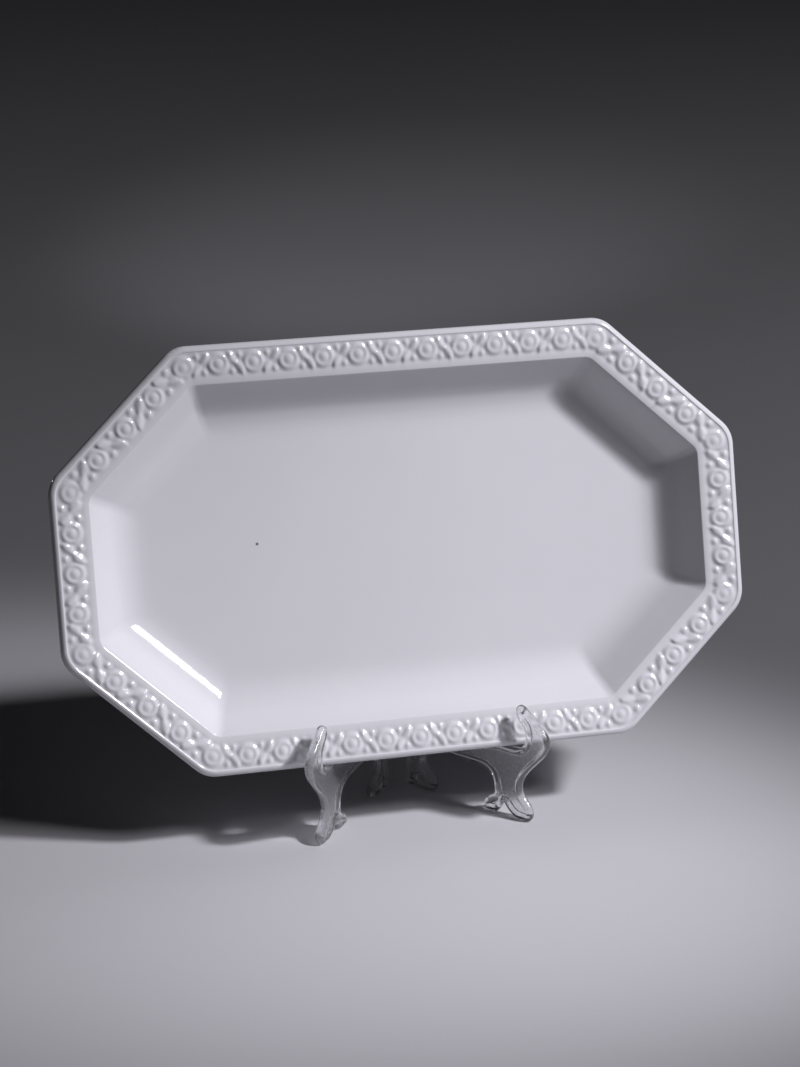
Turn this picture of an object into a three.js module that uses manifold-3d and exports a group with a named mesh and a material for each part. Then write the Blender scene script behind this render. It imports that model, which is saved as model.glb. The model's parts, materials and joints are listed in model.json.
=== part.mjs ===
// An eight-sided porcelain platter leaning in a clear folding plate stand.
// Millimetres, +Z up, +X along the platter, +Y to the back.

import * as THREE from 'three';
import { mergeVertices } from 'three/addons/utils/BufferGeometryUtils.js';
import Module from 'manifold-3d';

// Platter, seen from the front
const platterLength = 330;
const platterWidth = 200;
const cornerCutLength = 62;
const cornerCutWidth = 58.6;
const rimCornerRadius = 15;
const wellCornerRadius = 7;
const floorCornerRadius = 12;

// Platter, in section from the rim to the foot
const rimWidth = 18.3;
const rimThickness = 5;
const rimDrop = 2;
const rimEdgeRound = 2;
const lipWidth = 2.4;
const beadWidth = 1.8;
const bandDepth = 0.6;
const bandSlope = 1.5;
const wellDepth = 22;
const wallAngle = THREE.MathUtils.degToRad(52);
const wallThickness = 5;
const floorFillet = 20;
const floorThickness = 5;
const rimUndersideFillet = 5;
const footInset = 38;
const footWidth = 4.5;
const footHeight = 3;
const footRound = 0.8;

// How the platter stands
const lean = THREE.MathUtils.degToRad(15);
const rimSeatHeight = 37.6;
const seatClearance = 0.3;

// Stand, seen from above
const hingeBehindFoot = 18.7;
const halfSpread = THREE.MathUtils.degToRad(37.3);
const frameThickness = 4.6;
const frameEdgeRound = 1;
const webThickness = 2.4;
const webEdgeSlope = 0.8;
const foldClearance = 0.3;

// Hinge
const pinRadius = 1.5;
const pinClearance = 0.3;
const pinHeadRadius = 3;
const pinHeadHeight = 1.6;
const pinTipChamfer = 0.4;
const knuckleHeight = 6;
const tongueHeight = 7;
const knuckleGap = 0.4;
const knuckleClearance = 0.5;
const lowerHingeHeight = 24;
const upperHingeBelowTip = 26.3;

// Side frame, heights above the table
const waistHeight = 16.2;
const archHeight = 22;
const toeRise = 3.9;
const heelRise = 3.5;
const frontNotchHeight = 7;
const rearNotchHeight = 3.8;

// Side frame, heights measured down from the arch between its legs
const ankleDrop = 11;
const rearWaistDrop = 5.8;

// Side frame, heights measured from the floor of the slot that takes the rim
const hookTipRise = 19.5;
const hookInsideRise = 7.7;
const bulgeRise = 6.5;
const shelfDrop = 1.9;

// Side frame, front leg and hook, outward from the front end of the slot's floor
const slotEase = 0.8;
const slotLength = 8;
const hookTipOut = 3.4;
const hookTipRadius = 2.8;
const hookInsideOut = 6.2;
const bulgeOut = 19.8;
const waistOut = 3.6;
const toeOut = 10.2;
const toeRound = 3.4;
const toeFlat = 4.2;

// Side frame, inward from the front end of the slot's floor
const notchIn = 6.8;
const ankleIn = 12;
const heelIn = 18.7;
const heelRound = 2.7;
const heelFlat = 3.8;
const archFrontIn = 22.8;
const shelfIn = 24.6;

// Side frame, rear leg, outward from its back edge
const rearHeelRound = 1.6;
const rearHeelFlat = 2.2;
const rearNotchOut = 6.4;
const rearToeOut = 19.4;
const rearToeRound = 3.2;
const rearToeFlat = 4.9;
const rearWaistOut = 11.6;
const archBackOut = 25.8;

// Side frame, upright behind the platter
const backrestBelowSeat = 12.6;
const uprightTipReach = 11;
const uprightTipRadius = 3.2;

// Side frame, thin web inside its raised border
const borderWidth = 3.2;
const hookWebRise = 14.2;
const hookWebOut = 8.2;
const webBelowTip = 11;
const webTopRound = 6;
const rearWebFoot = 10.5;
const webFootRound = 3;

// How finely round stretches are divided
const cornerSteps = 4;
const profileSteps = 3;
const outlineSteps = 6;
const pinSides = 20;

// Platter sizes that follow from the ones above
const platterHeight = wellDepth + floorThickness + footHeight;
const edgeRound = Math.min(rimEdgeRound, 0.45 * rimThickness);
const rimSlope = rimDrop / rimWidth;
const floorEdge = rimWidth + (wellDepth - rimDrop) / Math.tan(wallAngle)
  + floorFillet * Math.tan(wallAngle / 2);

// Where the rim and the foot ring come to rest, behind the rim's lower front edge and above the table
const rimSeatBack = edgeRound * Math.sin(lean) + (rimThickness - edgeRound) * Math.cos(lean);
const rimLowest = rimSeatHeight + edgeRound * Math.cos(lean)
  - (rimThickness - edgeRound) * Math.sin(lean) - edgeRound;
const footDepth = platterHeight + seatClearance;
const footSeatBack = footInset * Math.sin(lean) + footDepth * Math.cos(lean);
const footSeatHeight = rimSeatHeight + footInset * Math.cos(lean) - footDepth * Math.sin(lean);

// Stand sizes that follow
const hingeBehindRim = footSeatBack + hingeBehindFoot;
const knuckleRadius = foldClearance + frameThickness;
const boreRadius = pinRadius + pinClearance;
const forkReach = tongueHeight / 2 + knuckleGap + knuckleHeight;
const rearEdge = knuckleRadius + knuckleClearance;
const slotFloor = rimLowest - seatClearance;
const slotFront = frameReach(rimSeatBack, knuckleRadius) + slotEase;
const backrestSlope = Math.atan(Math.tan(lean) / Math.cos(halfSpread));
const tipRun = backrestReach(footSeatHeight) - uprightTipReach
  - uprightTipRadius / Math.cos(backrestSlope);
const tipHeight = footSeatHeight + tipRun / Math.tan(backrestSlope);
const upperHingeHeight = tipHeight - upperHingeBelowTip;

const porcelain = new THREE.MeshStandardMaterial({ color: 0xe9e8ee, roughness: 0.12, metalness: 0 });
const clearPlastic = new THREE.MeshStandardMaterial({
  color: 0xf2f3f6, roughness: 0.06, metalness: 0, transparent: true, opacity: 0.35,
});

const wasm = await Module();
wasm.setup();

// A geometry's positions alone, with shared corners merged
function weld(geometry) {
  const bare = geometry.clone();
  bare.deleteAttribute('normal');
  bare.deleteAttribute('uv');
  return mergeVertices(bare, 1e-4);
}

function toSolid(geometry) {
  const welded = weld(geometry);
  const vertProperties = new Float32Array(welded.attributes.position.array);
  const triVerts = new Uint32Array(welded.index.array);
  return new wasm.Manifold(new wasm.Mesh({ numProp: 3, vertProperties, triVerts }));
}

function toGeometry(solid) {
  const mesh = solid.getMesh();
  const geometry = new THREE.BufferGeometry();
  geometry.setAttribute('position', new THREE.BufferAttribute(mesh.vertProperties, 3));
  geometry.setIndex(new THREE.BufferAttribute(mesh.triVerts, 1));
  geometry.computeVertexNormals();
  return geometry;
}

function makePiece(name, geometry, material) {
  const piece = new THREE.Mesh(geometry, material);
  piece.name = name;
  return piece;
}

// The eight sides of the platter: the direction each one faces and its distance from the middle
const cutFacing = Math.atan2(cornerCutLength, cornerCutWidth);
const cutReach = Math.cos(cutFacing) * platterLength / 2
  + Math.sin(cutFacing) * (platterWidth / 2 - cornerCutWidth);
const platterSides = [];
for (const half of [0, Math.PI]) {
  platterSides.push({ facing: half, reach: platterLength / 2 });
  platterSides.push({ facing: half + cutFacing, reach: cutReach });
  platterSides.push({ facing: half + Math.PI / 2, reach: platterWidth / 2 });
  platterSides.push({ facing: half + Math.PI - cutFacing, reach: cutReach });
}

// The corners are widest at the outline and the floor, and tightest where the wall leaves the rim
function cornerRadius(inset) {
  if (inset < rimWidth) {
    return THREE.MathUtils.lerp(rimCornerRadius, wellCornerRadius, inset / rimWidth);
  }
  const share = Math.min((inset - rimWidth) / (floorEdge - rimWidth), 1);
  return THREE.MathUtils.lerp(wellCornerRadius, floorCornerRadius, share);
}

// One level loop of the platter, drawn in from the outline by the inset, with round corners
function octagonRing(inset, height) {
  const radius = cornerRadius(inset);
  const ring = [];
  platterSides.forEach((side, index) => {
    const next = platterSides[(index + 1) % platterSides.length];
    const turn = THREE.MathUtils.euclideanModulo(next.facing - side.facing, 2 * Math.PI);
    const here = side.reach - inset - radius;
    const there = next.reach - inset - radius;
    const centreX = (here * Math.sin(next.facing) - there * Math.sin(side.facing)) / Math.sin(turn);
    const centreY = (there * Math.cos(side.facing) - here * Math.cos(next.facing)) / Math.sin(turn);
    for (let step = 0; step <= cornerSteps; step += 1) {
      const angle = side.facing + turn * step / cornerSteps;
      ring.push([centreX + radius * Math.cos(angle), centreY + radius * Math.sin(angle), height]);
    }
  });
  return ring;
}

// The platter's section, from the edge of the underside round the rim to the edge of the floor:
// x is the distance in from the outline and y the height above the foot
function platterProfile() {
  const top = platterHeight;
  const rimTop = (inset) => top - rimSlope * inset;
  const rimUnder = (inset) => rimTop(inset) - rimThickness;
  const filletHeight = top - wellDepth + floorFillet;
  const outerFillet = floorFillet + wallThickness;
  const filletRun = (inset) => Math.max(floorEdge - inset, 0);
  const underside = (inset) => filletHeight - Math.sqrt(outerFillet ** 2 - filletRun(inset) ** 2);
  const footAngle = Math.acos(filletRun(footInset) / outerFillet);
  const wallFacing = 1.5 * Math.PI - wallAngle;
  const footInner = footInset + footWidth;
  const bandStart = lipWidth + bandSlope;
  const beadStart = rimWidth - beadWidth;
  const bandEnd = beadStart - bandSlope;

  // Root of the outer wall: where its line meets the underside of the rim
  const across = Math.cos(wallAngle) + rimSlope * Math.sin(wallAngle);
  const along = Math.sin(wallAngle) - rimSlope * Math.cos(wallAngle);
  const rootRun = (rimThickness - wallThickness * across) / along;
  const root = rimWidth - wallThickness * Math.sin(wallAngle) + rootRun * Math.cos(wallAngle);
  const rootSetback = rimUndersideFillet * Math.tan(wallAngle / 2);

  const path = new THREE.Path();
  path.moveTo(footInner + footRound, Math.max(footHeight, underside(footInner)));
  path.lineTo(footInner, footRound);
  path.lineTo(footInner - footRound, 0);
  path.lineTo(footInset + footRound, 0);
  path.lineTo(footInset, footRound);
  path.lineTo(footInset, underside(footInset));
  path.absarc(floorEdge, filletHeight, outerFillet, Math.PI + footAngle, wallFacing, true);
  path.lineTo(root + rootSetback * Math.cos(wallAngle), rimUnder(root) - rootSetback * Math.sin(wallAngle));
  path.quadraticCurveTo(root, rimUnder(root), root - rootSetback, rimUnder(root - rootSetback));
  path.absarc(edgeRound, top - rimThickness + edgeRound, edgeRound, 1.5 * Math.PI, Math.PI, true);
  path.absarc(edgeRound, top - edgeRound, edgeRound, Math.PI, Math.PI / 2, true);
  path.lineTo(lipWidth, rimTop(lipWidth));
  path.lineTo(bandStart, rimTop(bandStart) - bandDepth);
  path.lineTo(bandEnd, rimTop(bandEnd) - bandDepth);
  path.lineTo(beadStart, rimTop(beadStart));
  path.lineTo(rimWidth, rimTop(rimWidth));
  path.absarc(floorEdge, filletHeight, floorFillet, wallFacing, 1.5 * Math.PI, false);
  return path.getPoints(profileSteps);
}

// The platter lying on its foot, as level loops joined into one skin and closed in the middle
function makePlatter() {
  const rings = platterProfile().map((point) => octagonRing(point.x, point.y));
  const count = rings[0].length;
  const positions = rings.flat(2);
  const last = rings.length - 1;
  const undersideMiddle = rings.length * count;
  const floorMiddle = undersideMiddle + 1;
  positions.push(0, 0, rings[0][0][2]);
  positions.push(0, 0, rings[last][0][2]);
  const faces = [];
  for (let spot = 0; spot < count; spot += 1) {
    const next = (spot + 1) % count;
    faces.push(undersideMiddle, next, spot);
    for (let ring = 0; ring < last; ring += 1) {
      const near = ring * count;
      const far = near + count;
      faces.push(near + spot, near + next, far + next);
      faces.push(near + spot, far + next, far + spot);
    }
    faces.push(floorMiddle, last * count + spot, last * count + next);
  }
  const geometry = new THREE.BufferGeometry();
  geometry.setAttribute('position', new THREE.Float32BufferAttribute(positions, 3));
  geometry.setIndex(faces);
  geometry.computeVertexNormals();
  return makePiece('platter', geometry, porcelain);
}

// Distance out from the hinge axis, in a side frame's plane, of what lies the given distance behind
// the rim's lower front edge; the offset is how far outside the hinge axis the plane lies
function frameReach(back, offset) {
  return (hingeBehindRim + offset * Math.sin(halfSpread) - back) / Math.cos(halfSpread);
}

// Front edge of the upright, along the back of the platter's foot ring
function backrestReach(height) {
  return frameReach(footSeatBack + (height - footSeatHeight) * Math.tan(lean), foldClearance);
}

// A curve that leaves the outline's last point upright and comes upright to the next one
function bendTo(outline, x, y, bend) {
  const from = outline.currentPoint;
  const rise = bend * (y - from.y);
  outline.bezierCurveTo(from.x, from.y + rise, x, y - rise, x, y);
}

// A curve that leaves the outline's last point level and comes level to the next one
function slideTo(outline, x, y) {
  const middle = (outline.currentPoint.x + x) / 2;
  outline.bezierCurveTo(middle, outline.currentPoint.y, middle, y, x, y);
}

// The pointed arch between the two toes of a foot
function archBetweenToes(outline, peak, height, nextToe) {
  outline.quadraticCurveTo((outline.currentPoint.x + peak) / 2, 0, peak, height);
  outline.quadraticCurveTo((peak + nextToe) / 2, 0, nextToe, 0);
}

// Hook in front of the rim and slot that takes it, from the waist of the front leg to the back of the slot
function drawHook(outline) {
  const tipX = slotFront + hookTipOut;
  const tipY = slotFloor + hookTipRise;
  const tipStart = THREE.MathUtils.degToRad(50);
  const tipEnd = THREE.MathUtils.degToRad(190);
  const startX = tipX + hookTipRadius * Math.cos(tipStart);
  const startY = tipY + hookTipRadius * Math.sin(tipStart);
  const bulgeX = slotFront + bulgeOut;
  const bulgeY = slotFloor + bulgeRise;
  const approach = (bulgeX - startX) * 0.4;
  const insideX = slotFront + hookInsideOut;
  bendTo(outline, bulgeX, bulgeY, 0.36);
  outline.bezierCurveTo(
    bulgeX, (2 * bulgeY + startY) / 3,
    startX + approach * Math.sin(tipStart), startY - approach * Math.cos(tipStart),
    startX, startY,
  );
  outline.absarc(tipX, tipY, hookTipRadius, tipStart, tipEnd, false);
  bendTo(outline, insideX, slotFloor + hookInsideRise, 0.5);
  outline.quadraticCurveTo(insideX, slotFloor, slotFront, slotFloor);
  outline.lineTo(slotFront - slotLength, slotFloor);
}

// Shelf behind the slot and the upright that the platter leans on, to the top of the back edge
function drawUpright(outline) {
  const shelf = slotFloor - shelfDrop;
  const straightStart = footSeatHeight - backrestBelowSeat;
  const pinTop = upperHingeHeight + forkReach + seatClearance + pinHeadHeight;
  slideTo(outline, slotFront - shelfIn, shelf);
  outline.quadraticCurveTo(backrestReach(shelf), shelf, backrestReach(straightStart), straightStart);
  outline.absarc(uprightTipReach, tipHeight, uprightTipRadius, backrestSlope, Math.PI, false);
  bendTo(outline, rearEdge, pinTop, 0.5);
}

// Rear foot and the arch up to the front leg
function drawRearLeg(outline) {
  const heelEnd = rearEdge + rearHeelRound;
  const toe = rearEdge + rearToeOut;
  const toeEnd = toe - rearToeRound;
  const waist = rearEdge + rearWaistOut;
  outline.lineTo(rearEdge, rearHeelRound);
  outline.quadraticCurveTo(rearEdge, 0, heelEnd, 0);
  outline.lineTo(heelEnd + rearHeelFlat, 0);
  archBetweenToes(outline, rearEdge + rearNotchOut, rearNotchHeight, toeEnd - rearToeFlat);
  outline.lineTo(toeEnd, 0);
  outline.quadraticCurveTo(toe, 0, toe, toeRise);
  bendTo(outline, waist, archHeight - rearWaistDrop, 0.45);
  outline.quadraticCurveTo(waist, archHeight, rearEdge + archBackOut, archHeight);
}

// Heel and toe of the front foot, from the arch to the waist of the front leg
function drawFrontFoot(outline) {
  const ankle = slotFront - ankleIn;
  const heel = slotFront - heelIn;
  const heelEnd = heel + heelRound;
  const toe = slotFront + toeOut;
  const toeEnd = toe - toeRound;
  outline.lineTo(slotFront - archFrontIn, archHeight);
  outline.quadraticCurveTo(ankle, archHeight, ankle, archHeight - ankleDrop);
  bendTo(outline, heel, heelRise, 0.45);
  outline.quadraticCurveTo(heel, 0, heelEnd, 0);
  outline.lineTo(heelEnd + heelFlat, 0);
  archBetweenToes(outline, slotFront - notchIn, frontNotchHeight, toeEnd - toeFlat);
  outline.lineTo(toeEnd, 0);
  outline.quadraticCurveTo(toe, 0, toe, toeRise);
  bendTo(outline, slotFront + waistOut, waistHeight, 0.45);
}

// Outline of a side frame in its own plane: distance out from the hinge axis and height above the table
function frameOutline() {
  const outline = new THREE.Shape();
  outline.moveTo(slotFront + waistOut, waistHeight);
  drawHook(outline);
  drawUpright(outline);
  drawRearLeg(outline);
  drawFrontFoot(outline);
  outline.closePath();
  return outline;
}

// Outline of the web, a border's width inside the frame's own outline wherever that is wide enough
function webOutline() {
  const shelf = slotFloor - shelfDrop - borderWidth;
  const straightStart = footSeatHeight - backrestBelowSeat;
  const straightEnd = tipHeight - webBelowTip;
  const backrestIn = borderWidth / Math.cos(backrestSlope);
  const waist = slotFront + waistOut - borderWidth;
  const bulge = slotFront + bulgeOut - borderWidth;
  const hookInside = slotFront + hookInsideOut + borderWidth;
  const rear = rearEdge + borderWidth;
  const rearWaist = rearEdge + rearWaistOut - borderWidth;
  const archTop = archHeight + borderWidth;
  const ankle = slotFront - ankleIn + borderWidth;
  const foot = frontNotchHeight + 0.75 * borderWidth;
  const outline = new THREE.Shape();
  outline.moveTo(waist, waistHeight);
  bendTo(outline, bulge, slotFloor + bulgeRise, 0.36);
  outline.quadraticCurveTo(
    bulge, slotFloor + hookWebRise - 2 * webEdgeSlope,
    slotFront + hookWebOut, slotFloor + hookWebRise,
  );
  bendTo(outline, hookInside, slotFloor + hookInsideRise, 0.5);
  outline.quadraticCurveTo(hookInside, slotFloor - borderWidth, slotFront, slotFloor - borderWidth);
  outline.lineTo(slotFront - slotLength, slotFloor - borderWidth);
  slideTo(outline, slotFront - shelfIn, shelf);
  outline.quadraticCurveTo(
    backrestReach(shelf) - backrestIn, shelf,
    backrestReach(straightStart) - backrestIn, straightStart,
  );
  outline.lineTo(backrestReach(straightEnd) - backrestIn, straightEnd);
  outline.quadraticCurveTo(uprightTipReach, straightEnd + webTopRound, rear, upperHingeHeight + forkReach);
  outline.lineTo(rear, rearWebFoot);
  outline.quadraticCurveTo((rear + rearWaist) / 2, rearWebFoot - webFootRound, rearWaist, rearWebFoot);
  outline.lineTo(rearWaist, archHeight - rearWaistDrop);
  outline.quadraticCurveTo(rearWaist, archTop, rearEdge + archBackOut, archTop);
  outline.lineTo(slotFront - archFrontIn, archTop);
  outline.quadraticCurveTo(ankle, archTop, ankle, archHeight - ankleDrop);
  outline.bezierCurveTo(ankle + webEdgeSlope, foot, waist + 2 * webEdgeSlope, foot, waist, waistHeight);
  outline.closePath();
  return outline;
}

// One hinge knuckle: the frame's slab carried on to the hinge axis and rolled round the pin
function makeKnuckle(side, bottom, height) {
  const away = -side;
  const root = rearEdge + frameThickness / 2;
  const mouth = Math.asin(foldClearance / knuckleRadius);
  const plan = new THREE.Shape();
  plan.moveTo(root, away * foldClearance);
  plan.lineTo(root, away * knuckleRadius);
  plan.lineTo(0, away * knuckleRadius);
  plan.absarc(0, 0, knuckleRadius, away * Math.PI / 2, away * mouth, side > 0);
  plan.closePath();
  const bore = new THREE.Path();
  bore.absarc(0, 0, boreRadius, 0, 2 * Math.PI, false);
  plan.holes.push(bore);
  const knuckle = new THREE.ExtrudeGeometry(plan, {
    depth: height, bevelEnabled: false, curveSegments: outlineSteps,
  });
  knuckle.rotateX(-Math.PI / 2);
  knuckle.translate(0, bottom, 0);
  return toSolid(knuckle);
}

// A side frame in its own plane. Side is 1 for the left frame and -1 for the right one:
// the slab lies outside the plane through the hinge axis, so that the two fold flat together.
// A recess in each face leaves a thin web inside a raised border.
function makeFrame(name, side, knuckles) {
  const recess = (frameThickness - webThickness) / 2;
  const lowerFace = side * (foldClearance + frameThickness / 2) - frameThickness / 2;
  const slab = new THREE.ExtrudeGeometry(frameOutline(), {
    depth: frameThickness - 2 * frameEdgeRound,
    bevelThickness: frameEdgeRound,
    bevelSize: frameEdgeRound,
    bevelOffset: -frameEdgeRound,
    bevelSegments: 2,
    curveSegments: outlineSteps,
  });
  slab.translate(0, 0, lowerFace + frameEdgeRound);
  let solid = toSolid(slab);
  for (const start of [lowerFace - recess, lowerFace + frameThickness]) {
    const hollow = new THREE.ExtrudeGeometry(webOutline(), {
      depth: recess,
      bevelThickness: recess,
      bevelSize: webEdgeSlope,
      bevelOffset: -webEdgeSlope,
      bevelSegments: 1,
      curveSegments: outlineSteps,
    });
    hollow.translate(0, 0, start);
    solid = solid.subtract(toSolid(hollow));
  }
  for (const knuckle of knuckles) {
    solid = solid.add(makeKnuckle(side, knuckle.bottom, knuckle.height));
  }
  return makePiece(name, toGeometry(solid), clearPlastic);
}

// A headed hinge pin, standing on the end of its shank at height zero
function makePin(name) {
  const shank = 2 * forkReach + seatClearance;
  const profile = [
    new THREE.Vector2(0, 0),
    new THREE.Vector2(pinRadius - pinTipChamfer, 0),
    new THREE.Vector2(pinRadius, pinTipChamfer),
    new THREE.Vector2(pinRadius, shank),
    new THREE.Vector2(pinHeadRadius, shank),
    new THREE.Vector2(pinHeadRadius, shank + pinHeadHeight / 2),
    new THREE.Vector2(pinHeadRadius / 2, shank + pinHeadHeight),
    new THREE.Vector2(0, shank + pinHeadHeight),
  ];
  return makePiece(name, weld(new THREE.LatheGeometry(profile, pinSides)), clearPlastic);
}

// At each hinge the left frame has a fork of two knuckles and the right frame a tongue between them
const hinges = [
  { pin: 'lower_hinge_pin', height: lowerHingeHeight },
  { pin: 'upper_hinge_pin', height: upperHingeHeight },
];
const forks = [];
const tongues = [];
for (const { height } of hinges) {
  forks.push({ bottom: height - forkReach, height: knuckleHeight });
  forks.push({ bottom: height + forkReach - knuckleHeight, height: knuckleHeight });
  tongues.push({ bottom: height - tongueHeight / 2, height: tongueHeight });
}

// Each frame's plane stands upright and is turned about the hinge axis to its own side
function placeFrame(frame, turn) {
  const leaf = new THREE.Group();
  leaf.position.y = hingeBehindRim;
  leaf.rotation.z = turn - Math.PI / 2;
  frame.rotation.x = Math.PI / 2;
  leaf.add(frame);
  return leaf;
}

// The platter leans back about the lower front edge of its rim
function placePlatter(platter) {
  const leaning = new THREE.Group();
  leaning.position.z = rimSeatHeight;
  leaning.rotation.x = Math.PI / 2 - lean;
  platter.position.set(0, platterWidth / 2, -platterHeight);
  leaning.add(platter);
  return leaning;
}

const assembly = new THREE.Group();
assembly.add(placePlatter(makePlatter()));
assembly.add(placeFrame(makeFrame('left_frame', 1, forks), -halfSpread));
assembly.add(placeFrame(makeFrame('right_frame', -1, tongues), halfSpread));
for (const hinge of hinges) {
  const pin = makePin(hinge.pin);
  pin.rotation.x = Math.PI / 2;
  pin.position.set(0, hingeBehindRim, hinge.height - forkReach);
  assembly.add(pin);
}

// The origin is on the table, under the middle of the whole object
const bounds = new THREE.Box3().setFromObject(assembly, true);
const middle = bounds.getCenter(new THREE.Vector3());
assembly.position.set(-middle.x, -middle.y, -bounds.min.z);

export default assembly;
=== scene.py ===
"""An eight-sided porcelain platter leaning in a clear folding plate stand."""

import json
import math

import bmesh
import bpy
import numpy as np
from mathutils import Matrix, Vector
from mathutils.geometry import delaunay_2d_cdt


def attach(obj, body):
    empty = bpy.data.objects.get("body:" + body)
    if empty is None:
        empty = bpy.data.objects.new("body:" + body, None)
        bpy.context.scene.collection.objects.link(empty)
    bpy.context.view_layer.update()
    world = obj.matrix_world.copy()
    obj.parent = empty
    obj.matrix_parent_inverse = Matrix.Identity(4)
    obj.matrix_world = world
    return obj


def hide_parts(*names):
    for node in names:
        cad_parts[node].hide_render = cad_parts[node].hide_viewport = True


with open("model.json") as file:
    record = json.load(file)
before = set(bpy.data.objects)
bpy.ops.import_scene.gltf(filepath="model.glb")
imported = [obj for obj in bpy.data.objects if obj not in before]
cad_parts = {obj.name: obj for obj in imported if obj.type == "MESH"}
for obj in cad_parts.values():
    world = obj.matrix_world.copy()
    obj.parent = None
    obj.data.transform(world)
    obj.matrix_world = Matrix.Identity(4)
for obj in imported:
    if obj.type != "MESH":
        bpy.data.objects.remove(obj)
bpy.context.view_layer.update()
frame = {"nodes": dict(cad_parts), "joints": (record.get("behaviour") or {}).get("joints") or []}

METRE = 1000.0  # in millimetres

# Platter, in millimetres
PLATTER_LENGTH = 330.0
PLATTER_WIDTH = 200.0
CORNER_CUT = (62.0, 58.6)
RIM_CORNER_RADIUS = 15.0
WELL_CORNER_RADIUS = 7.0
FLOOR_CORNER_RADIUS = 6.0
RIM_WIDTH = 18.3
RIM_THICKNESS = 5.0
RIM_DROP = 2.0
RIM_EDGE_ROUND = 2.0
RIM_FRONT_ROUND = 3.0
LIP_WIDTH = 3.0
BEAD_WIDTH = 2.8
BAND_DEPTH = 0.15
BAND_SLOPE = 0.9
WELL_DEPTH = 22.0
WALL_ANGLE = math.radians(52.0)
WALL_THICKNESS = 5.0
FLOOR_FILLET = 20.0
FLOOR_THICKNESS = 5.0
RIM_UNDERSIDE_FILLET = 5.0
FOOT_INSET = 38.0
FOOT_WIDTH = 4.5
FOOT_HEIGHT = 3.0
FOOT_ROUND = 0.8
LEAN = math.radians(15.0)
RIM_SEAT_HEIGHT = 37.6
SEAT_CLEARANCE = 0.3
SPECK_PLACE = (-67.3, 105.0)  # across the well's floor and up it from the rim's lower edge
SPECK_RADIUS = 0.4
SPECK_FADE = 0.9

# Stand, in millimetres
HINGE_BEHIND_FOOT = 18.7
HALF_SPREAD = math.radians(37.3)
FRAME_THICKNESS = 4.6
WEB_THICKNESS = 2.4
BORDER_WIDTH = 3.2
FOLD_CLEARANCE = 0.3
PIN_RADIUS = 1.5
PIN_CLEARANCE = 0.3
PIN_HEAD_RADIUS = 3.0
PIN_HEAD_HEIGHT = 1.6
KNUCKLE_HEIGHT = 6.0
TONGUE_HEIGHT = 7.0
KNUCKLE_GAP = 0.4
KNUCKLE_CLEARANCE = 0.5
LOWER_HINGE_HEIGHT = 24.0
UPPER_HINGE_BELOW_TIP = 26.3
PIN_TIP_CHAMFER = 0.4
PIN_HEAD_ROUND = 0.8
PIN_SIDES = 40

# Side frame's outline: heights above the table, then above and below the slot's floor
WAIST_HEIGHT = 16.2
ARCH_HEIGHT = 22.0
ANKLE_HEIGHT = 11.0
HEEL_RISE = 3.5
TOE_RISE = 3.9
FRONT_NOTCH_HEIGHT = 7.0
REAR_NOTCH_HEIGHT = 3.8
HOOK_TIP_RISE = 19.5
HOOK_INSIDE_RISE = 7.7
BULGE_RISE = 6.5
SHELF_DROP = 1.9
BACKREST_BELOW_SEAT = 12.6

# Distances out from the slot's front and in from it, and the hook's round tip
SLOT_EASE = 0.8
HOOK_TIP_OUT = 3.4
HOOK_TIP_RADIUS = 2.8
HOOK_TIP_START = math.radians(50)
HOOK_TIP_END = math.radians(190)
HOOK_INSIDE_OUT = 6.2
BULGE_OUT = 19.8
WAIST_OUT = 3.6
TOE_FLAT_OUT = (2.6, 6.8)
TOE_OUT = 10.2
SLOT_LENGTH = 8.0
SHELF_IN = 24.6
ARCH_FRONT_IN = 22.8
ANKLE_IN = 12.0
HEEL_IN = 18.7
HEEL_FLAT_IN = (16.0, 12.2)
NOTCH_IN = 6.8

# Distances out from the rear edge
REAR_HEEL_ROUND = 1.6
REAR_HEEL_FLAT_END = 3.8
REAR_NOTCH_OUT = 6.4
REAR_TOE_FLAT_OUT = (11.3, 16.2)
REAR_TOE_OUT = 19.4
REAR_WAIST_OUT = 11.6
ARCH_BACK_OUT = 25.8

# Round tip of the upright, whose middle is so far out from the hinge axis
UPRIGHT_TIP_REACH = 11.0
UPRIGHT_TIP_RADIUS = 3.2

# How far a bend runs on upright, as a share of its rise
BULGE_EASE = 0.36
UPRIGHT_EASE = 0.5
LEG_EASE = 0.45
BULGE_APPROACH = 0.4

# Frame's section, in from its outline
WEB_SLOPE_START = 1.1
WEB_SLOPE = 1.4
BORDER_ANGLES = (0, 12, 24, 36, 47, 57)  # of the border's round edge, in degrees
GRID_START = 0.3
BORDER_GRID = (0.5, 4.2)  # spacing, and where it ends
WEB_GRID = (1.3, 4.5)  # spacing, and where it starts
GRAIN_START = 0.6
GRAIN_RAMP = 0.8
LEAST_SPACING = 0.02
BARREL_STEPS = 40
BORE_STEPS = 32

# Relief band: lengths in millimetres, then shares of a roundel's radius or of the relief's height
ROUNDEL_PITCH = 17.5
ROUNDEL_RADIUS = 5.2
DROP_SPAN = 7.0
DROP_LENGTH = 7.8
DROP_HALF_WIDTH = 2.4
DROP_TURN = math.radians(48.0)
DROP_SETBACK = 1.2
DROP_BOW = 0.9
DROP_SHIFT = 0.5
PEARL_RADIUS = 1.6
PEARL_PLACE = (2.0, 3.7)
RELIEF_HEIGHT = 1.5
RELIEF_MARGIN = 1.0
RELIEF_FADE = 0.9
RING_MIDDLE = 0.74
RING_HALF_WIDTH = 0.26
DOME_RADIUS = 0.6
RING_RISE = 0.8
HOLLOW_RISE = 0.4
PEARL_RISE = 0.7
DROP_RISE = (0.6, 0.4)  # at its thin end, and what is added by its full end
DROP_TAPER = 1.3
FULLNESS = 0.8  # power that rounds off drops and domes
POOL_SHARE = 0.75  # of the relief's height, above which no glaze pools

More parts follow.
